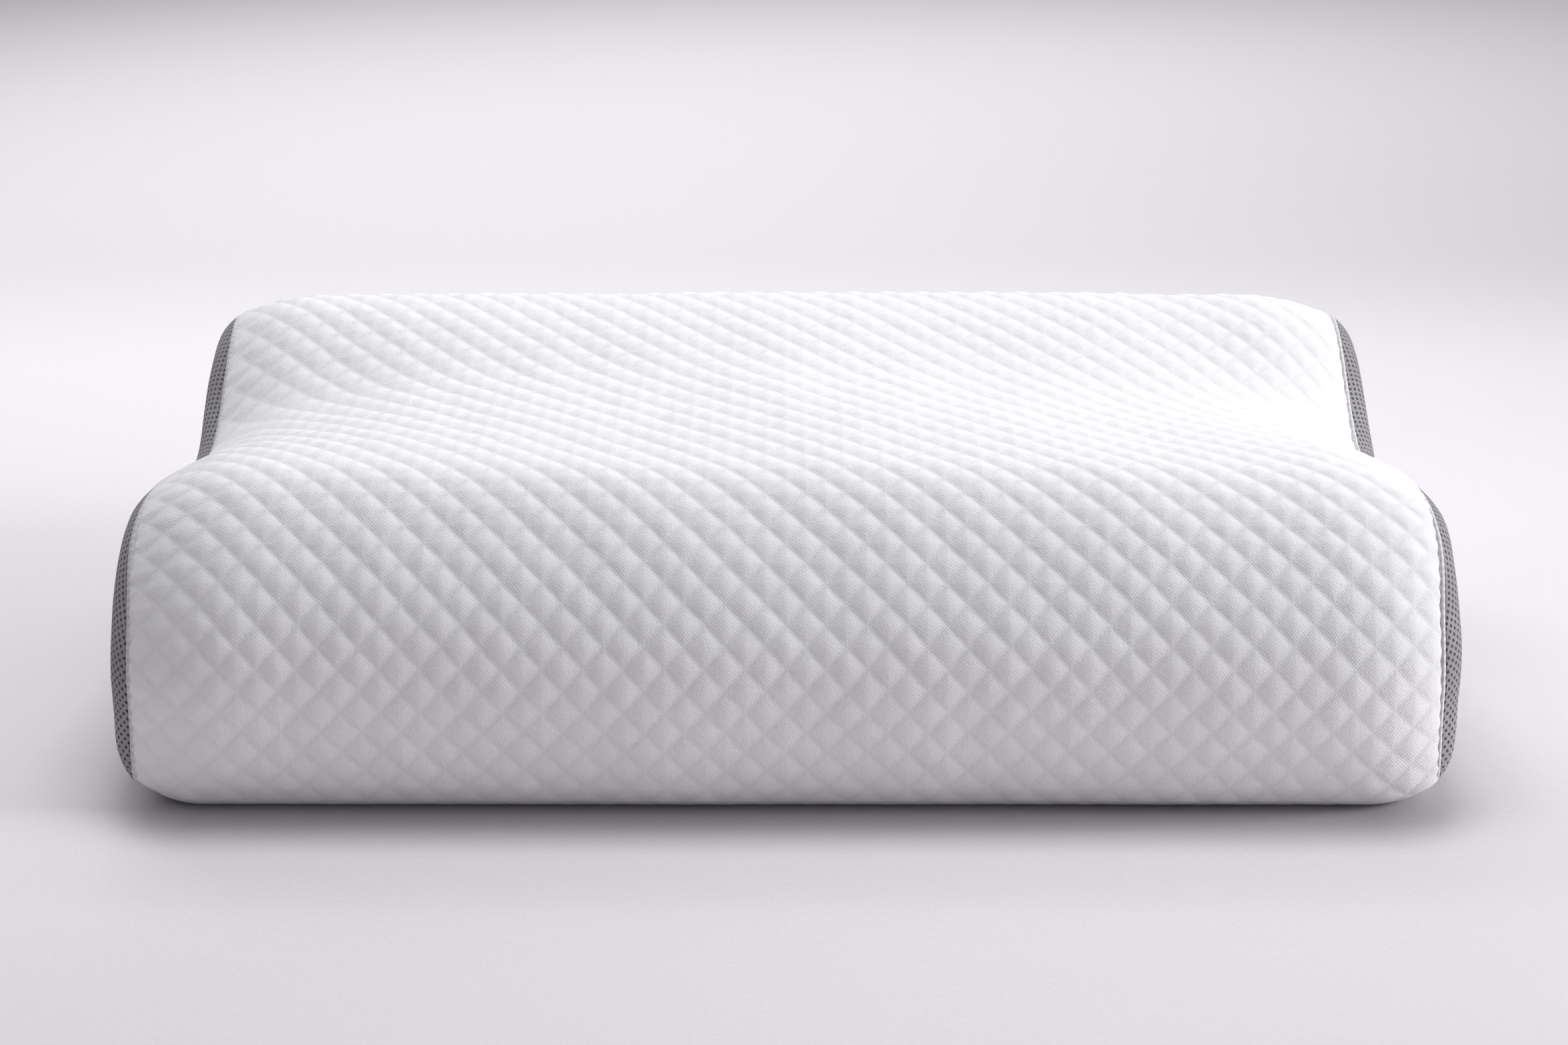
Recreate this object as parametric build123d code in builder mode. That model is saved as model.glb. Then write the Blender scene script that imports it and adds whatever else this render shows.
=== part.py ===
"""Contour bed pillow: memory-foam core, knitted liner and a zipped cover with mesh ends.

Millimetres, +Z up. X runs along the pillow, the low lobe faces -Y and the tall lobe and
the zip face +Y. The origin is on the floor, under the middle of the bounding box.
"""
import os
from math import exp, sqrt

from build123d import *

os.makedirs("parts", exist_ok=True)

# ---- Overall size ----
length = 500.0  # end to end, over the mesh ends
depth = 308.0  # front to back, zip slider included
rear_height = 131.0  # tall lobe
front_height = 116.0  # low lobe
end_valley_height = 94.0  # valley between the lobes, at the end seams
mid_valley_height = 121.0  # the taut cover bridges the valley at mid-length

# ---- Wave outline, seen from the end ----
crown_rise = 2.2  # how far the slider's bridge stands out of the back face
front_y = -depth / 2
back_y = depth / 2 - crown_rise
floor_front_y = -133.0  # the underside lies flat between these two
floor_back_y = 118.0
front_bulge_height = 45.0
front_shoulder = (-132.0, 89.5)  # half-way up the low lobe's long sloping face
shoulder_tangent = (0.68, 0.73)
front_crest_y = -84.0
valley_y = 30.0
rear_crest_y = 112.0
back_band_top = 86.0  # the back face is plumb between these two heights
back_band_bottom = 34.0
floor_press = 2.0  # the cover's underside is pressed flat by this much

# ---- Rounded ends ----
rounding_start = 200.0  # x where the ends begin to round over
end_x = length / 2
rounding_drop = 24.0  # how much smaller the outline is at the very end
seam_x = 240.0
seam_half_width = 1.4
bridge_fade = 85.0  # how fast the bridging fades in from the seams

# ---- Layers, measured inward from the cover's outer face ----
cover_thickness = 3.5
mesh_thickness = 2.5
liner_skin = 6.0
liner_thickness = 0.8
core_skin = 7.7
seam_fold_outer = -0.7
seam_fold_inner = 3.2

# ---- Zip, along the plumb back face ----
zip_height = 50.0
slot_half_length = 198.0
slot_half_width = 4.4
tape_half_length = 203.0
tape_width = 13.0
tape_gap = 1.0  # from the zip's centre line to each tape's edge
tape_thickness = 0.7
tape_skin = 3.7
coil_width = 2.07
coil_gap = 0.03
coil_height = 2.0
coil_start = -194.0
coil_end = 186.0
stop_length = 2.4
stitch_offset = 8.0
stitch_pitch = 5.0
stitch_length = 3.2
stitch_size = 0.4
stitch_rise = 0.1

# ---- Slider and pull ----
slider_x = 186.0
slider_length = 10.0
slider_half_width = 3.6
plate_thickness = 0.9
slider_inner_skin = 5.6  # inside face of the inner plate
slider_outer_skin = 0.3  # outside face of the outer plate
channel_half_width = 2.5
flange_skin = 3.4
wedge_length = 3.2
wedge_half_width = 0.8
bridge_length = 6.5
bridge_half_width = 0.9
bridge_wall = 0.8
pull_pin_radius = 0.5
pull_pin_rise = 0.8  # pin centre above the back face
pull_arm_reach = 5.3
pull_length = 26.0
pull_half_width = 3.1
pull_slot_half_width = 1.4
pull_thickness = 1.0

# ---- Care label, blank, sewn under the lower tape ----
label_width = 30.0
label_x = -140.0
label_top = 44.0
label_bottom = 14.0
label_skin = 4.6
label_thickness = 0.3


def rounding(x, skin):
    """How far the outline has shrunk at x for the layer that lies skin mm inside."""
    run = max(abs(x) - rounding_start, 0.0) / (end_x - rounding_start - skin)
    return skin + rounding_drop * (1 - sqrt(max(1 - run**2, 0.0)))


def bridged_valley(x):
    """Height of the cover's valley, which follows the foam only close to the seams."""
    taut = 1 - exp(-max(seam_x - abs(x), 0.0) / bridge_fade)
    return end_valley_height + (mid_valley_height - end_valley_height) * taut


def wave_section(x, skin, valley=end_valley_height):
    """Closed wave outline in the plane at x, for the layer skin mm inside the cover."""
    inset = rounding(x, skin)
    run, rise = shoulder_tangent
    with BuildSketch(Plane.YZ.offset(x)) as section:
        with BuildLine():
            wave = Spline(
                (floor_front_y, inset - floor_press),
                (front_y + inset, front_bulge_height),
                (front_shoulder[0] + rise * inset, front_shoulder[1] - run * inset),
                (front_crest_y, front_height - inset),
                (valley_y, valley - inset),
                (rear_crest_y, rear_height - inset),
                (back_y - inset, back_band_top),
                tangents=[(-1, 0), (0, 1), (run, rise), (1, 0), (1, 0), (1, 0), (0, -1)],
            )
            band = Line(wave @ 1, (back_y - inset, back_band_bottom))
            heel = Spline(
                band @ 1,
                (floor_back_y, inset - floor_press),
                tangents=[(0, -1), (-1, 0)],
            )
            Line(heel @ 1, wave @ 0)
        make_face()
    return section.sketch


def both_ways(stations):
    """The same stations on both sides of the middle, from left to right."""
    return [-x for x in reversed(stations)] + [0.0] + stations


def cover_sections(skin):
    stations = both_ways([50.0, 100.0, 150.0, 185.0, 200.0, 213.0, 224.0, 232.0, seam_x - 1.5])
    return [wave_section(x, skin, bridged_valley(x)) for x in stations]


def end_sections(skin, start_x, side):
    """Sections of a rounded end cap, from its rim out to its flat tip."""
    tip_x = end_x - skin
    span = tip_x - start_x
    reaches = [0.0, 0.25, 0.5, 0.75, 0.93, 1.0]
    return [wave_section(side * (start_x + span * r), skin) for r in reaches]


def core_sections(skin, stop_x):
    """Sections of the foam's own wave, the same all along, rounded at the ends."""
    tip_x = min(stop_x, end_x - skin)
    span = tip_x - rounding_start
    stations = [60.0, 120.0, 170.0, rounding_start]
    stations += [rounding_start + span * r for r in (0.3, 0.55, 0.75, 0.9, 0.98, 1.0)]
    return [wave_section(x, skin) for x in both_ways(stations)]


# ---- Foam core and its sewn liner ----
with BuildPart() as foam_core:
    loft(sections=core_sections(core_skin, end_x))
foam_core.part.label = "foam_core"

liner_stop_x = 230.0
with BuildPart() as liner_sleeve:
    loft(sections=core_sections(liner_skin, liner_stop_x))
    loft(sections=core_sections(liner_skin + liner_thickness, liner_stop_x), mode=Mode.SUBTRACT)
liner_sleeve.part.label = "liner_sleeve"

with BuildPart() as liner_right_end:
    loft(sections=end_sections(liner_skin, liner_stop_x + 0.1, 1))
    loft(
        sections=end_sections(liner_skin + liner_thickness, liner_stop_x + 0.1, 1),
        mode=Mode.SUBTRACT,
    )
liner_right_end.part.label = "liner_right_end"

with BuildPart() as liner_left_end:
    add(liner_right_end.part)
    mirror(about=Plane.YZ, mode=Mode.REPLACE)
liner_left_end.part.label = "liner_left_end"

# ---- Quilted cover wrap, open at both ends and along the zip ----
with BuildPart() as cover_wrap:
    loft(sections=cover_sections(0.0))
    loft(sections=cover_sections(cover_thickness), mode=Mode.SUBTRACT)
    split(bisect_by=Plane.XY, keep=Keep.TOP)
    with Locations((0, back_y - cover_thickness / 2, zip_height)):
        Box(
            2 * slot_half_length,
            2 * cover_thickness,
            2 * slot_half_width,
            mode=Mode.SUBTRACT,
        )
cover_wrap.part.label = "cover_wrap"

# ---- Mesh ends and the folded seam edges that join them to the wrap ----
gusset_x = seam_x + seam_half_width + 0.1
with BuildPart() as right_gusset:
    loft(sections=end_sections(0.0, gusset_x, 1))
    loft(sections=end_sections(mesh_thickness, gusset_x, 1), mode=Mode.SUBTRACT)
right_gusset.part.label = "right_gusset"

with BuildPart() as left_gusset:
    add(right_gusset.part)
    mirror(about=Plane.YZ, mode=Mode.REPLACE)
left_gusset.part.label = "left_gusset"

seam_edge_x = seam_x - seam_half_width
with BuildPart() as right_seam_edge:
    extrude(wave_section(seam_edge_x, seam_fold_outer), amount=2 * seam_half_width)
    extrude(
        wave_section(seam_edge_x, seam_fold_inner),
        amount=2 * seam_half_width,
        mode=Mode.SUBTRACT,
    )
right_seam_edge.part.label = "right_seam_edge"

with BuildPart() as left_seam_edge:
    add(right_seam_edge.part)
    mirror(about=Plane.YZ, mode=Mode.REPLACE)
left_seam_edge.part.label = "left_seam_edge"

# ---- Zip tapes, inside the cover's edges ----
tape_y = back_y - tape_skin - tape_thickness / 2
tape_z = tape_gap + tape_width / 2
with BuildPart() as upper_zip_tape:
    with Locations((0, tape_y, zip_height + tape_z)):
        Box(2 * tape_half_length, tape_thickness, tape_width)
upper_zip_tape.part.label = "upper_zip_tape"

with BuildPart() as lower_zip_tape:
    with Locations((0, tape_y, zip_height - tape_z)):
        Box(2 * tape_half_length, tape_thickness, tape_width)
lower_zip_tape.part.label = "lower_zip_tape"

# ---- Coils, meshed along the centre line and carried on the tapes ----
coil_y = back_y - tape_skin + 0.05 + coil_height / 2
coil_z = coil_gap + coil_width / 2
coil_length = coil_end - coil_start
coil_x = (coil_start + coil_end) / 2
with BuildPart() as upper_zip_coil:
    with Locations((coil_x, coil_y, zip_height + coil_z)):
        Box(coil_length, coil_height, coil_width)
    outer_edges = upper_zip_coil.edges().filter_by(Axis.X).group_by(Axis.Y)[-1]
    fillet(outer_edges.sort_by(Axis.Z)[-1], radius=0.9)
upper_zip_coil.part.label = "upper_zip_coil"

with BuildPart() as lower_zip_coil:
    add(upper_zip_coil.part)
    mirror(about=Plane.XY.offset(zip_height), mode=Mode.REPLACE)
lower_zip_coil.part.label = "lower_zip_coil"

# ---- Stops: one on each tape past the slider, and one that joins the far ends ----
top_stop_x = slider_x + slider_length / 2 + 0.6 + stop_length / 2
bottom_stop_x = coil_start - 0.1 - stop_length / 2
with BuildPart() as upper_top_stop:
    with Locations((top_stop_x, coil_y, zip_height + coil_z)):
        Box(stop_length, coil_height, coil_width)
    fillet(upper_top_stop.edges().group_by(Axis.Y)[-1], radius=0.4)
upper_top_stop.part.label = "upper_top_stop"

with BuildPart() as lower_top_stop:
    add(upper_top_stop.part)
    mirror(about=Plane.XY.offset(zip_height), mode=Mode.REPLACE)
lower_top_stop.part.label = "lower_top_stop"

with BuildPart() as bottom_stop:
    with Locations((bottom_stop_x, coil_y, zip_height)):
        Box(stop_length, coil_height, 2 * coil_width)
    fillet(bottom_stop.edges().group_by(Axis.Y)[-1], radius=0.4)
bottom_stop.part.label = "bottom_stop"

# ---- Lockstitch rows that hold the tapes, seen on the cover's outer face ----
stitch_count = int(2 * slot_half_length / stitch_pitch)
stitch_y = back_y + stitch_rise + stitch_size / 2
with BuildPart() as upper_zip_stitching:
    with Locations((0, stitch_y, zip_height + stitch_offset)):
        with GridLocations(stitch_pitch, 1, stitch_count, 1):
            Box(stitch_length, stitch_size, stitch_size)
upper_zip_stitching.part.label = "upper_zip_stitching"

with BuildPart() as lower_zip_stitching:
    with Locations((0, stitch_y, zip_height - stitch_offset)):
        with GridLocations(stitch_pitch, 1, stitch_count, 1):
            Box(stitch_length, stitch_size, stitch_size)
lower_zip_stitching.part.label = "lower_zip_stitching"

# ---- Slider: two plates, a wedge between them, two flanges and a bridge ----
outer_plate_y = back_y - slider_outer_skin - plate_thickness / 2
inner_plate_y = back_y - slider_inner_skin + plate_thickness / 2
wedge_depth = slider_inner_skin - slider_outer_skin - 2 * plate_thickness
wedge_x = coil_end + 0.5 + wedge_length / 2
flange_depth = flange_skin - slider_outer_skin - plate_thickness
flange_width = slider_half_width - channel_half_width
bridge_x = slider_x + 0.2
bridge_foot = back_y - slider_outer_skin - plate_thickness
bridge_top = back_y + crown_rise
with BuildPart() as slider_body:
    with Locations(
        (slider_x, outer_plate_y, zip_height),
        (slider_x, inner_plate_y, zip_height),
    ):
        Box(slider_length, plate_thickness, 2 * slider_half_width)
    fillet(slider_body.edges().filter_by(Axis.Y), radius=1.2)
    with Locations((wedge_x, back_y - slider_inner_skin + plate_thickness, zip_height)):
        Box(
            wedge_length,
            wedge_depth,
            2 * wedge_half_width,
            align=(Align.CENTER, Align.MIN, Align.CENTER),
        )
    flange_y = back_y - slider_outer_skin - plate_thickness - flange_depth / 2
    flange_z = channel_half_width + flange_width / 2
    with Locations(
        (slider_x, flange_y, zip_height + flange_z),
        (slider_x, flange_y, zip_height - flange_z),
    ):
        Box(slider_length - 2.4, flange_depth, flange_width)
    with Locations((bridge_x, (bridge_foot + bridge_top) / 2, zip_height)):
        Box(bridge_length, bridge_top - bridge_foot, 2 * bridge_half_width)
    fillet(slider_body.edges().filter_by(Axis.Z).group_by(Axis.Y)[-1], radius=0.6)
    window_foot = back_y - slider_outer_skin
    window_top = bridge_top - bridge_wall
    with Locations((bridge_x, (window_foot + window_top) / 2, zip_height)):
        Box(
            bridge_length - 2 * bridge_wall,
            window_top - window_foot,
            2 * bridge_half_width,
            mode=Mode.SUBTRACT,
        )
slider_body.part.label = "slider_body"

# ---- Pull: a pin under the bridge, two arms and a flat tab ----
pin_x = bridge_x - bridge_length / 2 + bridge_wall + pull_pin_radius + 0.15
pin_y = back_y + pull_pin_rise
tab_start_x = pin_x - pull_arm_reach
tab_length = pull_length - pull_arm_reach
arm_width = pull_half_width - pull_slot_half_width
with BuildPart() as pull_tab:
    with BuildSketch(Plane.XZ.offset(-pin_y)):
        with Locations((tab_start_x - tab_length / 2, zip_height)):
            RectangleRounded(tab_length, 2 * pull_half_width, 1.2)
        with Locations((tab_start_x - tab_length + 3.4, zip_height)):
            Circle(1.3, mode=Mode.SUBTRACT)
        arm_z = pull_slot_half_width + arm_width / 2
        arm_length = pull_arm_reach + pull_pin_radius + 1.2
        with Locations(
            (tab_start_x - 1.2 + arm_length / 2, zip_height + arm_z),
            (tab_start_x - 1.2 + arm_length / 2, zip_height - arm_z),
        ):
            Rectangle(arm_length, arm_width)
    extrude(amount=pull_thickness / 2, both=True)
    with Locations((pin_x, pin_y, zip_height)):
        Cylinder(pull_pin_radius, 2 * pull_half_width)
pull_tab.part.label = "pull_tab"

# ---- Care label, under the lower tape against the cover's inner face ----
with BuildPart() as care_label:
    extrude(wave_section(label_x - label_width / 2, label_skin), amount=label_width)
    extrude(
        wave_section(label_x - label_width / 2, label_skin + label_thickness),
        amount=label_width,
        mode=Mode.SUBTRACT,
    )
    with Locations((label_x, back_y - 40, (label_top + label_bottom) / 2)):
        Box(label_width, 100, label_top - label_bottom, mode=Mode.INTERSECT)
care_label.part.label = "care_label"

for made in (
    foam_core,
    liner_sleeve,
    liner_left_end,
    liner_right_end,
    cover_wrap,
    left_gusset,
    right_gusset,
    left_seam_edge,
    right_seam_edge,
    upper_zip_tape,
    lower_zip_tape,
    upper_zip_coil,
    lower_zip_coil,
    upper_top_stop,
    lower_top_stop,
    bottom_stop,
    upper_zip_stitching,
    lower_zip_stitching,
    slider_body,
    pull_tab,
    care_label,
):
    export_step(made.part, f"parts/{made.part.label}.step")
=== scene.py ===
import math

import bmesh
import bpy
import numpy as np
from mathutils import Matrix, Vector, noise


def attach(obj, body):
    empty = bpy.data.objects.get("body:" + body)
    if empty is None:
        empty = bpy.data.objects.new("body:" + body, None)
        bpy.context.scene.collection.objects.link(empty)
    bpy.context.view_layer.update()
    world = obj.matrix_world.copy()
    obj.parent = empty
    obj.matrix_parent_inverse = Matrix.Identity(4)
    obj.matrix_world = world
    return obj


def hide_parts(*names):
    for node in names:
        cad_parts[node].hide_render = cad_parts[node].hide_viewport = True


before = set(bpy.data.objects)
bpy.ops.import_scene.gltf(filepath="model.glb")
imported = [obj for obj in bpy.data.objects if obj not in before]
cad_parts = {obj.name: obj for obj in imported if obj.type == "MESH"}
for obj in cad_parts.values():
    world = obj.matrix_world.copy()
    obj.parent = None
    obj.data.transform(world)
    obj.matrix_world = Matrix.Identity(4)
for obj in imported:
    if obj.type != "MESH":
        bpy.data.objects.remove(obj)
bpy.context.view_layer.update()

MM = 0.001

# ---- Wave outline, in millimetres, as the part has it ----
FRONT_Y = -154.0
BACK_Y = 151.8
ROUNDING_START = 200.0
END_X = 250.0
ROUNDING_DROP = 24.0
SEAM_X = 240.0
END_VALLEY = 94.0
MID_VALLEY = 121.0
BRIDGE_FADE = 85.0
FRONT_CREST = (-84.0, 116.0)
REAR_CREST = (112.0, 131.5)
VALLEY_Y = 30.0
SHOULDER = (-132.0, 89.5)
SHOULDER_WAY = (0.68, 0.73)
BULGE_HEIGHT = 45.0
FLOOR_FRONT_Y = -133.0
FLOOR_BACK_Y = 118.0
FLOOR_PRESS = 2.0
CREST_FALL = 2.2
BAND_TOP = 86.0
BAND_BOTTOM = 34.0
ZIP_Z = 50.0
SLOT_HALF = 4.4
SLOT_END = 197.0

# ---- Quilt, in millimetres ----
DIAMOND_X = 14.75
DIAMOND_V = 16.2
FINE = 8  # grid steps across a diamond
RELIEF = 0.85
RELIEF_SHAPE = 0.85
RELIEF_BASE = 0.45  # the share of the relief that sinks below the outline
RELIEF_EASE_FRONT = 0.4
RELIEF_GAIN_BACK = 0.6
SLACK = ((95.0, 1.3, 1.0), (38.0, 0.7, 2.0), (13.0, 0.35, 3.0))  # size, strength and seed
PUCKER_PITCH = 8.1
PUCKER = 0.28
STITCH_OFFSET = 8.0
STITCH_DENT = 0.25
FLOOR_CLEAR = 0.25
LIPS = ((1.0, 0.12), (2.4, 0.5), (3.3, 0.9))  # depth into the slot, and drift from its middle


def rounding(x, skin=0.0):
    """How far the outline has shrunk at x for the layer skin mm inside the cover."""
    run = np.clip((np.abs(x) - ROUNDING_START) / (END_X - ROUNDING_START - skin), 0.0, 1.0)
    return skin + ROUNDING_DROP * (1.0 - np.sqrt(1.0 - run * run))


def smooth(value, low, high):
    t = np.clip((value - low) / (high - low), 0.0, 1.0)
    return t * t * (3.0 - 2.0 * t)


KNOTS = 11
ROUND_CORNERS = (1, 6, 8)  # the spans that turn a corner of the outline
CORNER_BOW = 1.14


def knots(inset, valley, slot, floor):
    """The outline's points and directions from the zip's upper lip round to its lower lip."""
    one = np.ones_like(inset)
    tilt = np.clip((valley - END_VALLEY) / (MID_VALLEY - END_VALLEY), 0.0, 1.0)
    crest = FRONT_CREST[1] - inset - CREST_FALL * np.clip(1.0 - tilt, 0.0, 1.0)
    points = [
        (BACK_Y - inset, ZIP_Z + slot),
        (BACK_Y - inset, BAND_TOP * one),
        (REAR_CREST[0] * one, REAR_CREST[1] - inset),
        (VALLEY_Y * one, valley - inset),
        (FRONT_CREST[0] * one, crest),
        (SHOULDER[0] + SHOULDER_WAY[1] * inset, SHOULDER[1] - SHOULDER_WAY[0] * inset),
        (FRONT_Y + inset, BULGE_HEIGHT * one),
        (FLOOR_FRONT_Y * one, floor),
        (FLOOR_BACK_Y * one, floor),
        (BACK_Y - inset, BAND_BOTTOM * one),
        (BACK_Y - inset, ZIP_Z - slot),
    ]
    ways = [
        (0 * one, one),
        (0 * one, one),
        (-one, -0.06 * tilt),
        (-one, -0.07 * tilt),
        (-one, -0.05 * tilt),
        (-SHOULDER_WAY[0] * one, -SHOULDER_WAY[1] * one),
        (0 * one, -one),
        (one, 0 * one),
        (one, 0 * one),
        (0 * one, one),
        (0 * one, one),
    ]
    points = np.stack([np.stack(point, -1) for point in points], -2)
    ways = np.stack([np.stack(way, -1) for way in ways], -2)
    return points, ways


def wave(params, inset, valley, slot=0.0, floor=None):
    """Outline points, one row per entry of inset and one column per parameter from 0 to 10."""
    inset = np.atleast_1d(np.asarray(inset, float))
    valley = np.broadcast_to(np.asarray(valley, float), inset.shape)
    slot = np.broadcast_to(np.asarray(slot, float), inset.shape)
    floor = inset - FLOOR_PRESS if floor is None else floor
    points, ways = knots(inset, valley, slot, floor)
    which = np.clip(np.floor(params).astype(int), 0, KNOTS - 2)
    t = (params - which)[None, :, None]
    a, b = points[:, which], points[:, which + 1]
    chord = np.linalg.norm(b - a, axis=-1, keepdims=True)
    bow = np.where(np.isin(which, ROUND_CORNERS), CORNER_BOW, 1.0)[None, :, None]
    pull_a, pull_b = ways[:, which] * chord * bow, ways[:, which + 1] * chord * bow
    return (
        (2 * t**3 - 3 * t**2 + 1) * a
        + (t**3 - 2 * t**2 + t) * pull_a
        + (3 * t**2 - 2 * t**3) * b
        + (t**3 - t**2) * pull_b
    )


def cover_valley(x):
    """Height of the valley at x, where the cover bridges it between the ends."""
    from_seam = np.maximum(SEAM_X - np.abs(x), 0)
    return END_VALLEY + (MID_VALLEY - END_VALLEY) * (1 - np.exp(-from_seam / BRIDGE_FADE))


def bump_at(params, middle, width):
    return np.exp(-(((params - middle) / width) ** 2))


def seam_shift(params):
    """How much further out than SEAM_X the seam runs over the crests and the lower front corner."""
    front = bump_at(params, 4.65, 0.55)
    rear = bump_at(params, 1.75, 0.35)
    foot = bump_at(params, 6.85, 0.35)
    return 2.3 * front + 1.3 * rear + 1.0 * foot


def ripple(points, size, strength, seed):
    """Smooth low noise at points (mm), as an array."""
    shift = Vector((seed * 7.1, seed * 3.3, seed * 1.7))
    return np.array([noise.noise(Vector(p) / size + shift) for p in points]) * strength


def grid_faces(rows, columns):
    """Quads of a grid whose vertex (row, column) is row * columns + column."""
    r, c = np.meshgrid(np.arange(rows - 1), np.arange(columns - 1), indexing="ij")
    first = (r * columns + c).ravel()
    return np.stack([first, first + 1, first + columns + 1, first + columns], -1)


def new_mesh(name, verts, faces, cloth=None):
    """A smooth-shaded object from arrays in metres, with its flat-cloth coordinates if given."""
    mesh = bpy.data.meshes.new(name)
    faces = np.asarray(faces)
    mesh.from_pydata([tuple(v) for v in verts], [], [tuple(int(i) for i in f) for f in faces])
    mesh.polygons.foreach_set("use_smooth", [True] * len(mesh.polygons))
    if cloth is not None:
        layer = mesh.attributes.new("cloth", "FLOAT_VECTOR", "POINT")
        layer.data.foreach_set("vector", np.asarray(cloth, np.float32).ravel())
    mesh.update()
    obj = bpy.data.objects.new(name, mesh)
    bpy.context.scene.collection.objects.link(obj)
    return obj


def sheet_mesh(name, points, cloth):
    """A grid of points (mm) as an open sheet."""
    rows, columns = points.shape[:2]
    faces = grid_faces(rows, columns)
    return new_mesh(name, points.reshape(-1, 3) * MM, faces, cloth.reshape(-1, 3) * MM)


def thicken(obj, thickness):
    """Adds thickness (mm) on the inside of a sheet."""
    modifier = obj.modifiers.new("thickness", "SOLIDIFY")
    modifier.thickness = thickness * MM
    modifier.offset = -1.0
    return obj


# ---- Materials ----
class Looks:
    """A small helper round one material's node tree."""

    def __init__(self, name):
        self.mat = bpy.data.materials.new(name)
        self.mat.use_nodes = True
        self.tree = self.mat.node_tree
        self.shader = self.tree.nodes["Principled BSDF"]

    def put(self, socket, value):
        if isinstance(value, bpy.types.NodeSocket):
            self.tree.links.new(value, socket)
        elif value is not None:
            socket.default_value = value

    def node(self, kind, out=0, into=None, **props):
        made = self.tree.nodes.new("ShaderNode" + kind)
        for key, value in props.items():
            setattr(made, key, value)
        for key, value in (into or {}).items():
            self.put(made.inputs[key], value)
        return made.outputs[out]

    def math(self, operation, a, b=None, c=None):
        into = {0: a}
        if b is not None:
            into[1] = b
        if c is not None:
            into[2] = c
        return self.node("Math", into=into, operation=operation)

    def wave(self, value, length):
        """A sine of value that repeats every length."""
        return self.math("SINE", self.math("MULTIPLY", value, 2 * math.pi / length))

    def cloth(self):
        return self.node("Attribute", out="Vector", attribute_name="cloth")

    def object_space(self):
        return self.node("TexCoord", out="Object")

    def split(self, vector):
        made = self.tree.nodes.new("ShaderNodeSeparateXYZ")
        self.put(made.inputs[0], vector)
        return made.outputs

    def noise(self, vector, scale, detail=2.0, rough=0.5):
        into = {"Vector": vector, "Scale": scale, "Detail": detail, "Roughness": rough}
        return self.node("TexNoise", into=into)

    def ramp(self, value, low, high, to_low=0.0, to_high=1.0, kind="SMOOTHSTEP"):
        into = {"Value": value, "From Min": low, "From Max": high, "To Min": to_low, "To Max": to_high}
        return self.node("MapRange", into=into, interpolation_type=kind)

    def mix(self, factor, a, b):
        made = self.tree.nodes.new("ShaderNodeMix")
        made.data_type = "RGBA"
        self.put(made.inputs[0], factor)
        self.put(made.inputs[6], a)
        self.put(made.inputs[7], b)
        return made.outputs[2]

    def add(self, *values):
        total = values[0]
        for value in values[1:]:
            total = self.math("ADD", total, value)
        return total

    def finish(self, color, rough, height=None, distance=0.0005, strength=1.0, sheen=0.0, metallic=0.0):
        self.put(self.shader.inputs["Base Color"], color)
        self.put(self.shader.inputs["Roughness"], rough)
        self.shader.inputs["Metallic"].default_value = metallic
        if sheen:
            self.shader.inputs["Sheen Weight"].default_value = sheen
            self.shader.inputs["Sheen Roughness"].default_value = 0.5
        if height is not None:
            into = {"Height": height, "Distance": distance, "Strength": strength}
            self.put(self.shader.inputs["Normal"], self.node("Bump", into=into))
        return self.mat


def rgb(r, g, b):
    return (r, g, b, 1.0)


def quilt_looks():
    look = Looks("quilted_knit")
    cloth = look.cloth()
    x, v, _ = look.split(cloth)
    wander = look.math("MULTIPLY_ADD", look.noise(cloth, 38.0, 2.0), 0.0016, -0.0008)
    a = look.math("DIVIDE", look.add(x, wander), DIAMOND_X * MM)
    b = look.math("DIVIDE", look.math("SUBTRACT", v, wander), DIAMOND_V * MM)
    near_one = look.math("PINGPONG", look.add(a, b), 0.5)
    near_two = look.math("PINGPONG", look.math("SUBTRACT", a, b), 0.5)
    near = look.node("Math", into={0: near_one, 1: near_two, 2: 0.03}, operation="SMOOTH_MIN")
    puff = look.ramp(near, 0.0, 0.2)
    crown = look.ramp(near, 0.0, 0.5, kind="LINEAR")
    knit = look.math("MULTIPLY", look.wave(x, 0.00115), look.wave(v, 0.0015))
    fuzz = look.noise(cloth, 900.0, 3.0, 0.6)
    lumps = look.noise(cloth, 210.0, 3.0, 0.6)
    height = look.add(
        look.math("MULTIPLY", puff, 0.2),
        look.math("MULTIPLY", crown, 0.35),
        look.math("MULTIPLY", knit, 0.08),
        look.math("MULTIPLY", fuzz, 0.35),
        look.math("MULTIPLY", lumps, 0.5),
    )
    # Through puff the colour is darker in the grooves between the diamonds, which is painted shade; the
    # fuzz and noise terms are the knit's own uneven tone.
    shade = look.add(
        look.math("MULTIPLY", puff, 0.3),
        look.math("MULTIPLY", fuzz, 0.4),
        look.math("MULTIPLY", look.noise(cloth, 9.0, 3.0), 0.3),
    )
    tone = look.ramp(shade, 0.1, 1.0)
    color = look.mix(tone, rgb(0.85, 0.848, 0.87), rgb(0.93, 0.925, 0.94))
    rough = look.ramp(fuzz, 0.2, 0.8, 0.82, 0.98)
    return look.finish(color, rough, height, 0.0008, 0.62, sheen=0.25)


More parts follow.
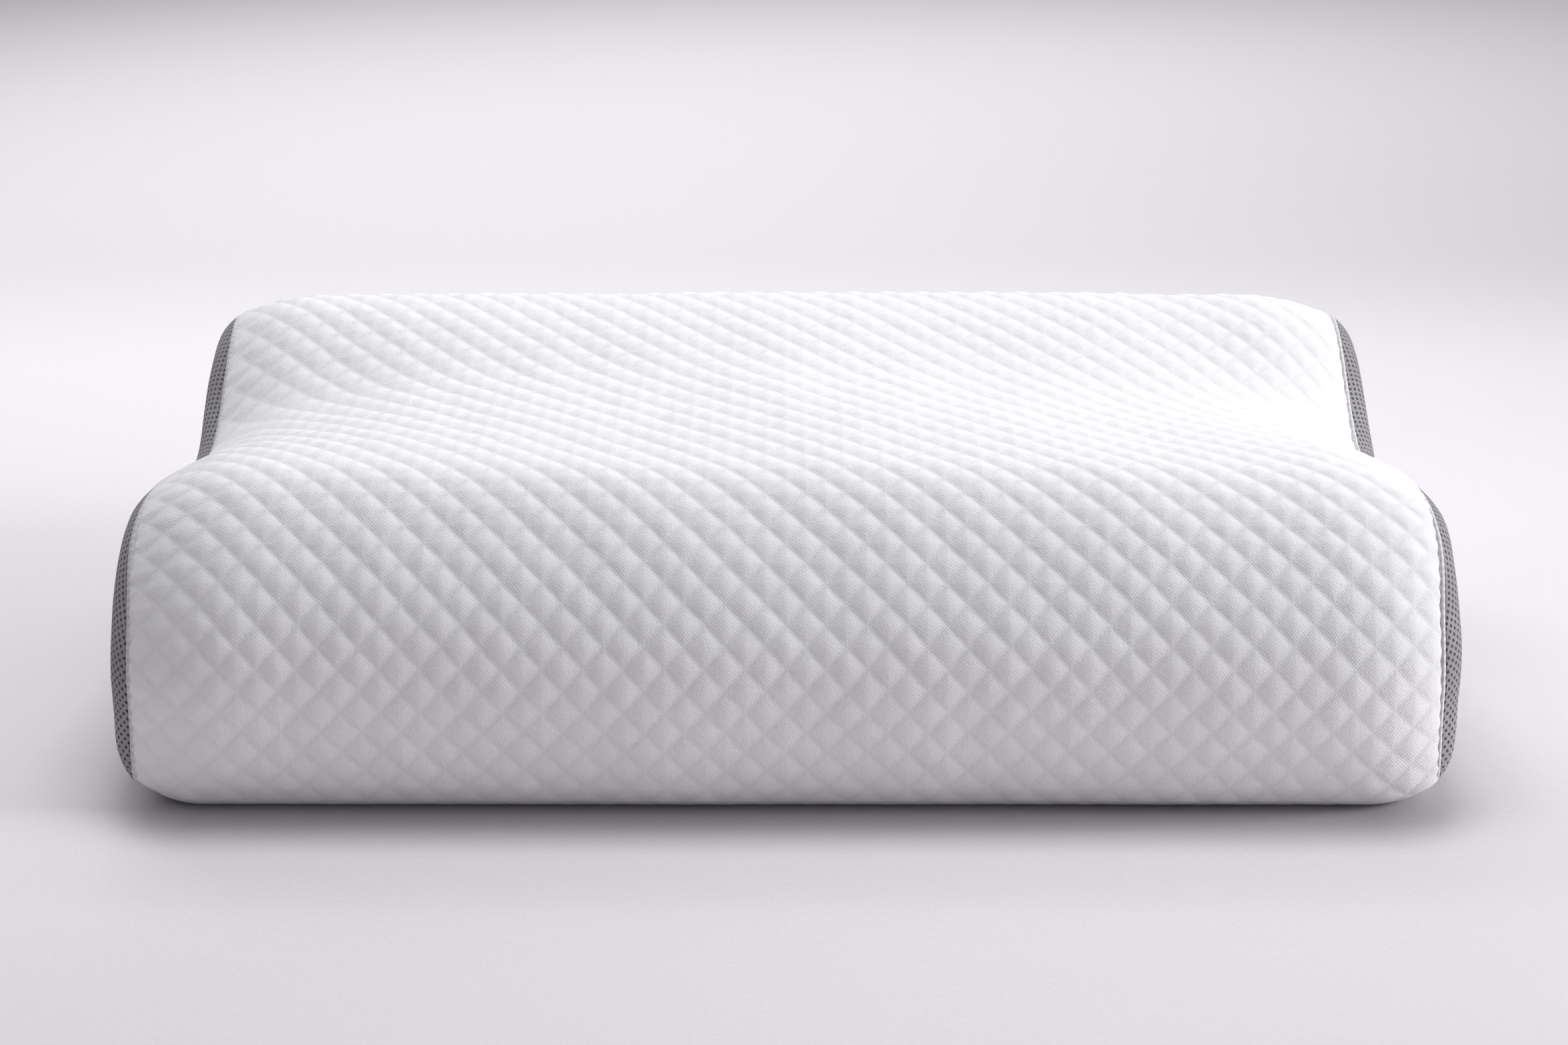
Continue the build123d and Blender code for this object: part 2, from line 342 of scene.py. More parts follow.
def mesh_looks():
    look = Looks("grey_mesh")
    cloth = look.cloth()
    x, v, _ = look.split(cloth)
    wander = look.math("MULTIPLY_ADD", look.noise(cloth, 120.0, 2.0), 0.0008, -0.0004)
    u1 = look.math("COSINE", look.math("MULTIPLY", look.add(x, wander), math.pi / 0.0019))
    v1 = look.math("COSINE", look.math("MULTIPLY", look.add(v, wander), math.pi / 0.0017))
    grid = look.math("MULTIPLY", u1, v1)
    hole = look.ramp(grid, 0.2, 0.6)
    yarn = look.noise(cloth, 1500.0, 2.0, 0.6)
    rib = look.wave(look.math("SUBTRACT", x, v), 0.00052)
    tone = look.add(
        look.math("MULTIPLY", yarn, 0.6),
        look.math("MULTIPLY", rib, 0.12),
        look.math("MULTIPLY", look.noise(cloth, 30.0, 3.0), 0.4),
    )
    yarns = look.mix(look.ramp(tone, 0.2, 0.85), rgb(0.26, 0.25, 0.26), rgb(0.50, 0.48, 0.50))
    # Painted shade: the knit's holes are coloured nearly black for the shade down inside them.
    color = look.mix(hole, yarns, rgb(0.05, 0.047, 0.05))
    height = look.add(
        look.math("MULTIPLY", hole, -0.8),
        look.math("MULTIPLY", yarn, 0.3),
        look.math("MULTIPLY", rib, 0.1),
    )
    rough = look.ramp(yarn, 0.2, 0.8, 0.7, 0.92)
    return look.finish(color, rough, height, 0.0006, 0.9, sheen=0.15)


def fold_looks():
    look = Looks("seam_fold")
    cloth = look.cloth()
    x = look.split(cloth)[0]
    stitch = look.wave(x, 0.0032)
    fuzz = look.noise(cloth, 1100.0, 3.0, 0.6)
    shade = look.add(look.math("MULTIPLY", fuzz, 0.7), look.math("MULTIPLY", stitch, 0.2))
    color = look.mix(look.ramp(shade, 0.0, 0.8), rgb(0.66, 0.66, 0.69), rgb(0.85, 0.845, 0.865))
    rough = look.ramp(fuzz, 0.2, 0.8, 0.82, 0.98)
    return look.finish(color, rough, look.add(shade, fuzz), 0.0003, 0.8, sheen=0.2)


def foam_looks():
    look = Looks("memory_foam")
    space = look.object_space()
    cells = look.node("TexVoronoi", into={"Vector": space, "Scale": 900.0}, feature="F1")
    pores = look.ramp(cells, 0.15, 0.55)
    skin = look.noise(space, 60.0, 4.0, 0.6)
    shade = look.add(look.math("MULTIPLY", pores, 0.4), look.math("MULTIPLY", skin, 0.6))
    color = look.mix(look.ramp(shade, 0.2, 0.9), rgb(0.80, 0.76, 0.64), rgb(0.91, 0.89, 0.82))
    rough = look.ramp(skin, 0.3, 0.7, 0.75, 0.92)
    return look.finish(color, rough, shade, 0.0004, 0.7)


def liner_looks():
    look = Looks("liner_knit")
    cloth = look.cloth()
    x, v, _ = look.split(cloth)
    knit = look.math("MULTIPLY", look.wave(x, 0.0009), look.wave(v, 0.0007))
    fuzz = look.noise(cloth, 800.0, 3.0, 0.6)
    shade = look.add(look.math("MULTIPLY", knit, 0.25), fuzz)
    color = look.mix(look.ramp(shade, 0.2, 0.9), rgb(0.70, 0.70, 0.69), rgb(0.86, 0.86, 0.85))
    rough = look.ramp(fuzz, 0.2, 0.8, 0.8, 0.95)
    return look.finish(color, rough, shade, 0.0002, 0.8, sheen=0.15)


def tape_looks():
    look = Looks("zip_tape")
    cloth = look.cloth()
    x, v, _ = look.split(cloth)
    chevron = look.math("PINGPONG", look.math("DIVIDE", v, 0.0022), 0.5)
    twill = look.wave(look.add(look.math("DIVIDE", x, 0.0009), chevron), 1.0)
    fuzz = look.noise(cloth, 1400.0, 3.0, 0.6)
    shade = look.add(look.math("MULTIPLY", twill, 0.3), fuzz)
    color = look.mix(look.ramp(shade, 0.15, 0.95), rgb(0.62, 0.62, 0.65), rgb(0.84, 0.84, 0.86))
    rough = look.ramp(fuzz, 0.2, 0.8, 0.7, 0.88)
    return look.finish(color, rough, shade, 0.0002, 0.9)


def coil_looks():
    look = Looks("zip_coil")
    space = look.object_space()
    haze = look.noise(space, 700.0, 3.0, 0.55)
    color = look.mix(look.ramp(haze, 0.3, 0.7), rgb(0.72, 0.72, 0.75), rgb(0.86, 0.86, 0.88))
    rough = look.ramp(haze, 0.3, 0.7, 0.3, 0.5)
    return look.finish(color, rough, haze, 0.00005, 0.5)


def metal_looks():
    look = Looks("zip_metal")
    space = look.object_space()
    stretched = look.node("Mapping", into={"Vector": space, "Scale": (1.0, 14.0, 14.0)})
    brush = look.noise(stretched, 420.0, 3.0, 0.6)
    cloud = look.noise(space, 260.0, 3.0, 0.6)
    shade = look.add(look.math("MULTIPLY", brush, 0.5), look.math("MULTIPLY", cloud, 0.5))
    color = look.mix(look.ramp(shade, 0.3, 0.7), rgb(0.50, 0.50, 0.51), rgb(0.68, 0.68, 0.69))
    rough = look.ramp(brush, 0.3, 0.7, 0.26, 0.44)
    return look.finish(color, rough, brush, 0.00003, 0.5, metallic=1.0)


def thread_looks():
    look = Looks("thread")
    space = look.object_space()
    x, _, z = look.split(space)
    lay = look.add(x, look.math("MULTIPLY", z, 1.4))
    twist = look.wave(lay, 0.0006)
    fuzz = look.noise(space, 2200.0, 2.0)
    shade = look.add(look.math("MULTIPLY", twist, 0.35), fuzz)
    color = look.mix(look.ramp(shade, 0.1, 1.0), rgb(0.50, 0.50, 0.53), rgb(0.78, 0.78, 0.80))
    rough = look.ramp(fuzz, 0.3, 0.7, 0.55, 0.8)
    return look.finish(color, rough, shade, 0.0001, 0.9)


def label_looks():
    look = Looks("label_satin")
    cloth = look.cloth()
    v = look.split(cloth)[1]
    weave = look.wave(v, 0.0004)
    slub = look.noise(look.node("Mapping", into={"Vector": cloth, "Scale": (0.2, 1.0, 1.0)}), 900.0, 2.0)
    shade = look.add(look.math("MULTIPLY", weave, 0.15), slub)
    color = look.mix(look.ramp(shade, 0.2, 0.9), rgb(0.80, 0.80, 0.79), rgb(0.92, 0.92, 0.91))
    rough = look.ramp(slub, 0.3, 0.7, 0.32, 0.5)
    return look.finish(color, rough, shade, 0.0001, 0.7)


quilted_knit = quilt_looks()
grey_mesh = mesh_looks()
seam_fold = fold_looks()
memory_foam = foam_looks()
liner_knit = liner_looks()
zip_tape = tape_looks()
zip_coil = coil_looks()
zip_metal = metal_looks()
thread = thread_looks()
label_satin = label_looks()


def dress(obj, material, slot, *nodes):
    """Gives a finished piece its material and body, and hides the CAD parts it stands for; slot is not
    used.
    """
    obj.data.materials.clear()
    obj.data.materials.append(material)
    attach(obj, "pillow")
    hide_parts(*nodes)
    return obj


# ---- Quilted cover ----
def row_params():
    """Parameters of the cover's rows, at even lengths of cloth, and those lengths in mm."""
    dense = np.linspace(0.0, 10.0, 4001)
    middle = wave(dense, 0.0, MID_VALLEY, SLOT_HALF)[0]
    steps = np.linalg.norm(np.diff(middle, axis=0), axis=1)
    length = np.concatenate([[0.0], np.cumsum(steps)])
    floor_from = np.interp(7.05, dense, length)
    floor_to = np.interp(7.95, dense, length)
    fine = DIAMOND_V / FINE
    places = [0.0]
    while places[-1] < length[-1] - 0.4 * fine:
        under = floor_from < places[-1] < floor_to
        places.append(places[-1] + fine * (2 if under else 1))
    places[-1] = length[-1]
    places = np.array(places)
    return np.interp(places, length, dense), places


def make_cover():
    params, lengths = row_params()
    step = DIAMOND_X / FINE
    reach = int((SEAM_X - 1.6) / step)
    x = np.arange(-reach, reach + 1) * step
    x = np.concatenate([[-SEAM_X + 0.1, -SEAM_X + 0.9], x, [SEAM_X - 0.9, SEAM_X - 0.1]])
    tuck = np.zeros_like(x)
    tuck[[0, -1]] = 0.8
    tuck[[1, -2]] = 0.15
    shut = 0.1
    slot = shut + (SLOT_HALF - shut) * (1 - smooth(np.abs(x), SLOT_END - 6.0, SLOT_END + 1.0))
    inset = rounding(x) + tuck
    lift_x, sunk = 218.0, -1.0
    lifted = np.clip((np.abs(x) - lift_x) / (SEAM_X - lift_x), 0.0, 1.0) ** 1.8
    floor = sunk + (rounding(SEAM_X) - FLOOR_PRESS - sunk) * lifted + tuck
    base = wave(params, inset, cover_valley(x), slot, floor)
    rows, columns = len(params), len(x)
    points = np.empty((rows, columns, 3))
    points[..., 0] = x[None, :]
    points[..., 1:] = base.transpose(1, 0, 2)
    outer = np.sign(x) * smooth(np.abs(x), 205.0, SEAM_X)
    points[..., 0] += seam_shift(params)[:, None] * outer[None, :]

    along = np.gradient(points, axis=1)
    down = np.gradient(points, axis=0)
    normal = np.cross(along, down)
    normal /= np.maximum(np.linalg.norm(normal, axis=-1, keepdims=True), 1e-9)
    outward = points[..., 1:] - np.array([0.0, 55.0])
    facing = np.sign((normal[..., 1:] * outward).sum(-1)).sum()
    if facing < 0:
        normal = -normal

    a = x[None, :] / DIAMOND_X
    b = lengths[:, None] / DIAMOND_V
    puff = np.abs(np.sin(math.pi * (a + b)) * np.sin(math.pi * (a - b))) ** RELIEF_SHAPE
    back = points[..., 1] > 140.0
    zip_near = smooth(np.abs(points[..., 2] - ZIP_Z), 8.5, 15.0)
    calm = np.where(back, zip_near, 1.0)
    pressed = 0.12 + 0.88 * smooth(points[..., 2], 0.5, 7.0)
    seam_near = smooth(SEAM_X - np.abs(x), 1.0, 9.0)[None, :]
    low_front = smooth(-points[..., 1], 60.0, 120.0) * (1 - smooth(points[..., 2], 25.0, 85.0))
    on_back = smooth(points[..., 1], 125.0, 148.0)
    drawn = calm * pressed * (1 - RELIEF_EASE_FRONT * low_front) * (1 + RELIEF_GAIN_BACK * on_back)
    relief = RELIEF * (puff - RELIEF_BASE) * drawn * (0.25 + 0.75 * seam_near)

    flat = points.reshape(-1, 3)
    slow, soft, quick = (ripple(flat, *slack).reshape(rows, columns) for slack in SLACK)
    sag = (slow + soft + quick) * calm * pressed
    to_seam = SEAM_X - np.abs(x)[None, :]
    gather = np.sin(2 * math.pi * lengths[:, None] / PUCKER_PITCH + 1.3 * soft)
    pucker = gather * PUCKER * np.exp(-to_seam / 7.0)
    from_stitches = np.abs(points[..., 2] - ZIP_Z) - STITCH_OFFSET
    stitched = np.exp(-((from_stitches / 1.3) ** 2)) * back * (np.abs(x) < 200)[None, :]
    points += normal * (relief + sag + pucker * pressed - STITCH_DENT * stitched)[..., None]
    points[..., 2] = np.maximum(points[..., 2], FLOOR_CLEAR)

    def lip(row, way, depth, drift):
        """The cloth's edge turned in at the slot, depth (mm) behind row."""
        turned = points[row].copy()
        turned[:, 1] -= depth
        turned[:, 2] += way * drift * np.minimum(slot / SLOT_HALF, 1.0)
        return turned

    upper = [lip(0, 1.0, *turn) for turn in LIPS[::-1]]
    lower = [lip(-1, -1.0, *turn) for turn in LIPS]
    depths = np.array([depth for depth, _ in LIPS])
    points = np.concatenate([np.array(upper), points, np.array(lower)])
    lengths = np.concatenate([-depths[::-1], lengths, lengths[-1] + depths])
    rows += 2 * len(LIPS)

    cloth = np.zeros((rows, columns, 3))
    cloth[..., 0] = x[None, :]
    cloth[..., 1] = lengths[:, None]
    return sheet_mesh("quilted_cover", points, cloth)


# ---- Closed rings round the wave, for the ends, the liner and the foam ----
RING = 360
HALF = RING // 2  # over the top from the back's middle to the front's; the rest runs back underneath
FRONT_MIDDLE = 6.0
ring_params = np.concatenate(
    [
        np.linspace(0.0, FRONT_MIDDLE, HALF, endpoint=False),
        np.linspace(FRONT_MIDDLE, KNOTS - 1.0, HALF, endpoint=False),
    ]
)
opposite = -np.arange(RING) % RING
# An end's loops: shares of the way out to its tip, then of the way in to the middle of its face.
END_SHARES = (0.0, 0.16, 0.32, 0.48, 0.64, 0.78, 0.89, 0.96, 1.0)
INNER = (0.06, 0.14, 0.24, 0.36, 0.5, 0.64, 0.78, 0.9, 1.0)
SPINE = (-88.0, 92.0, 46.0)  # the line that an end's flat face closes on: y from, y to, z


def ring(inset):
    """One closed loop of outline points in mm, with the plain foam valley."""
    return wave(ring_params, inset, END_VALLEY)[0]


def end_rings(skin, start_x, side, crown):
    """Loops from start_x out round the end and in to the middle of its flat face."""
    tip = END_X - skin
    loops = []
    for share in END_SHARES:
        x = start_x + (tip - start_x) * share
        flare = seam_shift(ring_params) * (1 - share) if skin == 0 else 0.0
        foot = 1 - 0.30 * bump_at(ring_params, 7.0, 0.8) if skin == 0 else 1.0
        loops.append((start_x + (x - start_x) * foot + flare, ring(rounding(x, skin))))
    rim, last = loops[-1]
    spine_y = np.clip((last[:, 0] + last[opposite, 0]) / 2, SPINE[0], SPINE[1])
    spine = np.stack([spine_y, np.full(RING, SPINE[2])], -1)
    for k in INNER:
        dome = (tip - rim) * smooth(k, 0.0, 0.5) + crown * (1 - (1 - k) ** 2)
        loops.append((rim + dome, last + (spine - last) * k))
    return [(side * x, loop) for x, loop in loops]


def end_cloth(points, rim):
    """Flat-cloth places of an end: as seen end-on inside loop rim, unrolled outward beyond it."""
    cloth = np.zeros_like(points)
    cloth[..., :2] = points[..., 1:]
    away = points[0][:, 1:] - points[rim][:, 1:]
    away /= np.maximum(np.linalg.norm(away, axis=-1, keepdims=True), 1e-6)
    steps = np.linalg.norm(np.diff(points[: rim + 1], axis=0), axis=-1)
    run = steps[::-1].cumsum(axis=0)[::-1]
    cloth[:rim, :, :2] = points[rim][None, :, 1:] + away[None] * run[..., None]
    return cloth


def tube_cloth(points):
    """Flat-cloth places of a tube: along it, and round it."""
    cloth = np.zeros_like(points)
    around = np.linalg.norm(np.diff(points[len(points) // 2], axis=0), axis=-1)
    cloth[..., 0] = points[..., 0]
    cloth[..., 1] = np.concatenate([[0.0], around.cumsum()])[None, :]
    return cloth


def loops_to_mesh(name, loops, waver=0.0, rim=None):
    points = np.array([np.column_stack([np.broadcast_to(x, RING), loop]) for x, loop in loops])
    cloth = tube_cloth(points) if rim is None else end_cloth(points, rim)
    flat = points.reshape(-1, 3)
    if waver:
        flat[:, 0] += ripple(flat, 30.0, waver, 5.0) + ripple(flat, 11.0, waver * 0.4, 6.0)
    faces = grid_faces(len(loops), RING)
    wrap = np.arange(len(loops) - 1) * RING
    close = np.stack([wrap + RING - 1, wrap, wrap + RING, wrap + 2 * RING - 1], -1)
    faces = np.concatenate([faces, close])
    obj = new_mesh(name, flat * MM, faces, cloth.reshape(-1, 3) * MM)
    shell = bmesh.new()
    shell.from_mesh(obj.data)
    bmesh.ops.remove_doubles(shell, verts=shell.verts, dist=0.005 * MM)
    shell.to_mesh(obj.data)
    shell.free()
    return obj


def point_outward(obj):
    """Turns a mesh's faces to look away from the middle of the pillow."""
    mesh = obj.data
    middle = Vector((0.0, 0.0, 0.055))
    total = sum((p.center - middle).dot(p.normal) * p.area for p in mesh.polygons)
    if total < 0:
        mesh.flip_normals()
    return obj


cover = dress(point_outward(make_cover()), quilted_knit, "quilted_knit", "cover_wrap")

RIM = len(END_SHARES) - 1
MESH_THICKNESS = 2.0
MESH_CROWN = 1.6
for side, word in ((-1, "left"), (1, "right")):
    loops = end_rings(0.0, SEAM_X + 0.9, side, MESH_CROWN)
    tucked = [(side * (SEAM_X + 0.2 + seam_shift(ring_params)), ring(rounding(SEAM_X) + 2.4))]
    obj = point_outward(loops_to_mesh("mesh_end_" + word, tucked + loops, 0.5, rim=RIM + 1))
    dress(thicken(obj, MESH_THICKNESS), grey_mesh, "grey_mesh", word + "_gusset")


# ---- Folded seam edges ----
FOLD_SIDES = 10
FOLD_DEEP = 1.15
FOLD_WIDE = 1.05
FOLD_STITCH = 3.2


def make_fold(name, side):
    """A round bead along the seam, gathered a little at every stitch."""
    outline = ring(rounding(SEAM_X) + 1.0)
    ahead = np.roll(outline, -1, axis=0) - np.roll(outline, 1, axis=0)
    ahead /= np.maximum(np.linalg.norm(ahead, axis=-1, keepdims=True), 1e-6)
    out = np.stack([-ahead[:, 1], ahead[:, 0]], -1)
    if ((outline - np.array([0.0, 50.0])) * out).sum() < 0:
        out = -out
    steps = np.linalg.norm(np.roll(outline, -1, axis=0) - outline, axis=-1)
    run = np.concatenate([[0.0], np.cumsum(steps)[:-1]])
    gather = np.sin(2 * math.pi * run / FOLD_STITCH)
    loops = []
    for k in range(FOLD_SIDES):
        turn = 2 * math.pi * k / FOLD_SIDES
        deep = math.cos(turn) * (FOLD_DEEP + 0.04 * gather)
        wide = math.sin(turn) * (FOLD_WIDE + 0.05 * gather)
        place = outline + out * deep[:, None]
        loops.append(np.column_stack([side * (SEAM_X + seam_shift(ring_params)) + wide, place]))
    points = np.array(loops)
    cloth = np.zeros_like(points)
    cloth[..., 0] = run[None, :]
    cloth[..., 1] = np.arange(FOLD_SIDES)[:, None] * 0.7
    faces = []
    for k in range(FOLD_SIDES):
        n = (k + 1) % FOLD_SIDES
        for i in range(RING):
            j = (i + 1) % RING
            faces.append((k * RING + i, k * RING + j, n * RING + j, n * RING + i))
    return new_mesh(name, points.reshape(-1, 3) * MM, faces, cloth.reshape(-1, 3) * MM)


for side, word in ((-1, "left"), (1, "right")):
    obj = point_outward(make_fold("seam_fold_" + word, side))
    dress(obj, seam_fold, "seam_fold", word + "_seam_edge")


# ---- Foam block and its liner ----
def tube_loops(skin, stop):
    """Loops along the straight part, from -stop to stop, skin mm inside the cover's face."""
    places = [0.0, 40.0, 80.0, 120.0, 160.0, 185.0, 200.0, 208.0, 216.0, 223.0, stop]
    places = [-x for x in reversed(places[1:])] + places
    return [(x, ring(rounding(x, skin))) for x in places]


FOAM_SKIN = 8.2
foam_ends = {side: end_rings(FOAM_SKIN, 231.0, side, 0.4) for side in (-1, 1)}
foam_loops = foam_ends[-1][::-1] + tube_loops(FOAM_SKIN, 229.0) + foam_ends[1]
foam = point_outward(loops_to_mesh("foam_block", foam_loops))
dress(foam, memory_foam, "memory_foam", "foam_core")

LINER_SKIN = 6.3
LINER_THICKNESS = 0.7
tube = point_outward(loops_to_mesh("liner_tube", tube_loops(LINER_SKIN, 230.0)))
dress(thicken(tube, LINER_THICKNESS), liner_knit, "liner_knit", "liner_sleeve")
for side, word in ((-1, "left"), (1, "right")):
    obj = loops_to_mesh("liner_cap_" + word, end_rings(LINER_SKIN, 230.3, side, 0.3), rim=RIM)
    obj = thicken(point_outward(obj), LINER_THICKNESS)
    dress(obj, liner_knit, "liner_knit", f"liner_{word}_end")


# ---- Zip tapes ----
TAPE_HALF = 203.0
TAPE_WIDTH = 13.0
TAPE_GAP = 1.0
TAPE_Y = 148.02
TAPE_THICKNESS = 0.6


def make_tape(name, way):
    columns, rows = 205, 9
    x = np.linspace(-TAPE_HALF, TAPE_HALF, columns)
    across = np.linspace(0.0, TAPE_WIDTH, rows)
    points = np.zeros((rows, columns, 3))
    points[..., 0] = x[None, :]
    points[..., 1] = TAPE_Y + 0.05 * np.sin(x / 9.0 + way)[None, :]
    points[..., 2] = ZIP_Z + way * (TAPE_GAP + across)[:, None]
    cloth = np.zeros_like(points)
    cloth[..., 0] = x[None, :]
    cloth[..., 1] = across[:, None]
    return sheet_mesh(name, points, cloth)


for way, word in ((1, "upper"), (-1, "lower")):
    obj = thicken(point_outward(make_tape("tape_" + word, way)), TAPE_THICKNESS)
    dress(obj, zip_tape, "zip_tape", word + "_zip_tape")


# ---- Zip coils: a wound filament on each tape ----
COIL_PITCH = 1.45
COIL_FROM, COIL_TO = -193.6, 185.7
COIL_MIDDLE = (149.15, 1.08)  # y, and z from the zip's centre line
COIL_HALF = (0.74, 0.78)
FILAMENT_RADIUS = 0.24


def make_coil(name, way, shift):
    turn_points, sides = 14, 6
    turns = int((COIL_TO - COIL_FROM - shift) / COIL_PITCH)
    angle = np.arange(turns * turn_points + 1) / turn_points * 2 * math.pi
    path = np.stack(
        [
            COIL_FROM + shift + COIL_PITCH * angle / (2 * math.pi),
            COIL_MIDDLE[0] + COIL_HALF[0] * np.sin(angle),
            ZIP_Z + way * (COIL_MIDDLE[1] - COIL_HALF[1] * np.cos(angle)),
        ],
        -1,
    )
    ahead = np.gradient(path, axis=0)
    ahead /= np.linalg.norm(ahead, axis=-1, keepdims=True)
    first = np.cross(ahead, np.array([1.0, 0.0, 0.0]))
    first /= np.linalg.norm(first, axis=-1, keepdims=True)
    second = np.cross(ahead, first)
    around = np.arange(sides) / sides * 2 * math.pi
    points = (
        path[:, None, :]
        + first[:, None, :] * (np.cos(around) * FILAMENT_RADIUS)[None, :, None]
        + second[:, None, :] * (np.sin(around) * FILAMENT_RADIUS)[None, :, None]
    )
    count = len(path)
    r, c = np.meshgrid(np.arange(count - 1), np.arange(sides), indexing="ij")
    r, c = r.ravel(), c.ravel()
    n = (c + 1) % sides
    faces = np.stack([r * sides + c, r * sides + n, (r + 1) * sides + n, (r + 1) * sides + c], -1)
    return new_mesh(name, points.reshape(-1, 3) * MM, faces)


HALF_TURN = 0.72  # the lower coil's turns fall between the upper's
for way, word, shift in ((1, "upper", 0.0), (-1, "lower", HALF_TURN)):
    obj = make_coil("coil_" + word, way, shift)
    dress(obj, zip_coil, "zip_coil", word + "_zip_coil")


# ---- Lockstitch rows beside the zip ----
STITCHES = 79
STITCH_PITCH = 5.0
STITCH_HALF = 1.65
STITCH_RADIUS = 0.22
STITCH_Y = 151.98


def make_stitches(name, z):
    verts, faces = [], []
    rings, sides = 9, 6
    for k in range(STITCHES):
        middle = (k - STITCHES // 2) * STITCH_PITCH
        skew = 0.12 * math.sin(k * 2.3)
        base = len(verts)
        for i in range(rings):
            t = i / (rings - 1) * 2 - 1
            radius = STITCH_RADIUS * math.sqrt(max(1 - 0.9 * abs(t) ** 6, 0.02))
            x = middle + t * STITCH_HALF
            y = STITCH_Y - 0.30 * t**4
            for s in range(sides):
                turn = 2 * math.pi * s / sides
                verts.append((x, y + radius * math.cos(turn), z + skew * t + radius * math.sin(turn)))
        for i in range(rings - 1):
            for s in range(sides):
                n = (s + 1) % sides
                row = base + i * sides
                faces.append((row + s, row + n, row + sides + n, row + sides + s))
    return new_mesh(name, np.array(verts) * MM, faces)


for way, word in ((1, "upper"), (-1, "lower")):
    obj = make_stitches("stitches_" + word, ZIP_Z + way * STITCH_OFFSET)
    dress(obj, thread, "thread", word + "_zip_stitching")


# ---- Care ribbon inside the cover, blank ----
RIBBON_SKIN = 4.75
RIBBON_THICKNESS = 0.25
RIBBON_X = (-154.7, -125.3)
RIBBON_Z = (14.3, 43.7)


def make_ribbon():
    """A small sheet that follows the cover's inside below the zip."""
    dense = wave(np.linspace(8.0, 10.0, 400), RIBBON_SKIN, END_VALLEY)[0]
    order = np.argsort(dense[:, 1])
    count = 16
    z = np.linspace(*RIBBON_Z, count)
    y = np.interp(z, dense[order, 1], dense[order, 0])
    x = np.linspace(*RIBBON_X, count)
    points = np.zeros((count, count, 3))
    points[..., 0] = x[None, :]
    points[..., 1] = y[:, None] - 0.05 * (1 + np.cos(x / 4.0))[None, :]
    points[..., 2] = z[:, None]
    cloth = np.zeros_like(points)
    cloth[..., 0] = x[None, :]
    cloth[..., 1] = z[:, None]
    return sheet_mesh("care_ribbon", points, cloth)


ribbon = thicken(point_outward(make_ribbon()), RIBBON_THICKNESS)
dress(ribbon, label_satin, "label_satin", "care_label")

# ---- CAD metal: stops, slider and pull ----
for name in ("upper_top_stop", "lower_top_stop", "bottom_stop", "slider_body", "pull_tab"):
    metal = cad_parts[name]
    metal.data.materials.clear()
    metal.data.materials.append(zip_metal)
    bevel = metal.modifiers.new("worn_edges", "BEVEL")
    bevel.width = 0.12 * MM
    bevel.segments = 2
    bevel.limit_method = "ANGLE"
    bevel.angle_limit = math.radians(40)


# ---- Floor and backdrop: one round cove of paper ----
def make_cove():
    """Flat floor, a quarter-round turn and an upright wall, turned about Z, in metres."""
    flat, turn, height = 2.5, 0.6, 2.6
    profile = [(r, 0.0) for r in (0.001, 0.2, 0.5, 0.9, 1.4, 2.0)]
    for k in range(9):
        angle = math.radians(90 * k / 8)
        profile.append((flat + turn * math.sin(angle), turn * (1 - math.cos(angle))))
    profile += [(flat + turn, 1.5), (flat + turn, height)]
    columns = 97
    turns = np.linspace(0.0, 2 * math.pi, columns)
    points = np.array([[(r * math.cos(a), r * math.sin(a), z) for a in turns] for r, z in profile])
    return new_mesh("studio_cove", points.reshape(-1, 3), grid_faces(len(profile), columns))


def paper_looks():
    look = Looks("studio_paper")
    space = look.object_space()
    x, y, _ = look.split(space)
    grain = look.noise(space, 330.0, 4.0, 0.65)
    cloud = look.noise(space, 1.3, 2.0)
    shade = look.add(look.math("MULTIPLY", grain, 0.4), look.math("MULTIPLY", cloud, 0.6))
    paper = look.mix(look.ramp(shade, 0.2, 0.8), rgb(0.825, 0.80, 0.83), rgb(0.865, 0.84, 0.87))
    # Painted shade: the paper is coloured darker from 0.44 m to 0.76 m behind the middle, and fully
    # beyond that, for the dimmer light towards the back.
    far = look.ramp(y, 0.44, 0.76)
    tone = look.mix(far, paper, rgb(0.71, 0.695, 0.72))
    # How far a point lies outside the patch of floor that the pillow stands on, for the painted contact
    # shadow.
    half_x, half_y, middle_y = 0.212, 0.1255, -0.0075
    past_end = look.math("SUBTRACT", look.math("ABSOLUTE", x), half_x)
    past_end = look.math("MAXIMUM", past_end, 0.0)
    from_middle = look.math("ABSOLUTE", look.math("ADD", y, -middle_y))
    past_side = look.math("SUBTRACT", from_middle, half_y)
    past_side = look.math("MAXIMUM", past_side, 0.0)
    square = look.math("MULTIPLY", past_side, past_side)
    past = look.math("SQRT", look.math("MULTIPLY_ADD", past_end, past_end, square))
    # Painted contact shadow: the paper is coloured dark grey at the pillow's footprint and fades out 5.5
    # cm from it, as the shade under and round the pillow.
    painted_contact_shadow = look.ramp(past, 0.004, 0.055, 1.0, 0.0)
    color = look.mix(painted_contact_shadow, tone, rgb(0.32, 0.31, 0.325))
    rough = look.ramp(grain, 0.3, 0.7, 0.8, 0.95)
    return look.finish(color, rough, grain, 0.0004, 0.35)


cove = make_cove()
cove.data.materials.append(paper_looks())


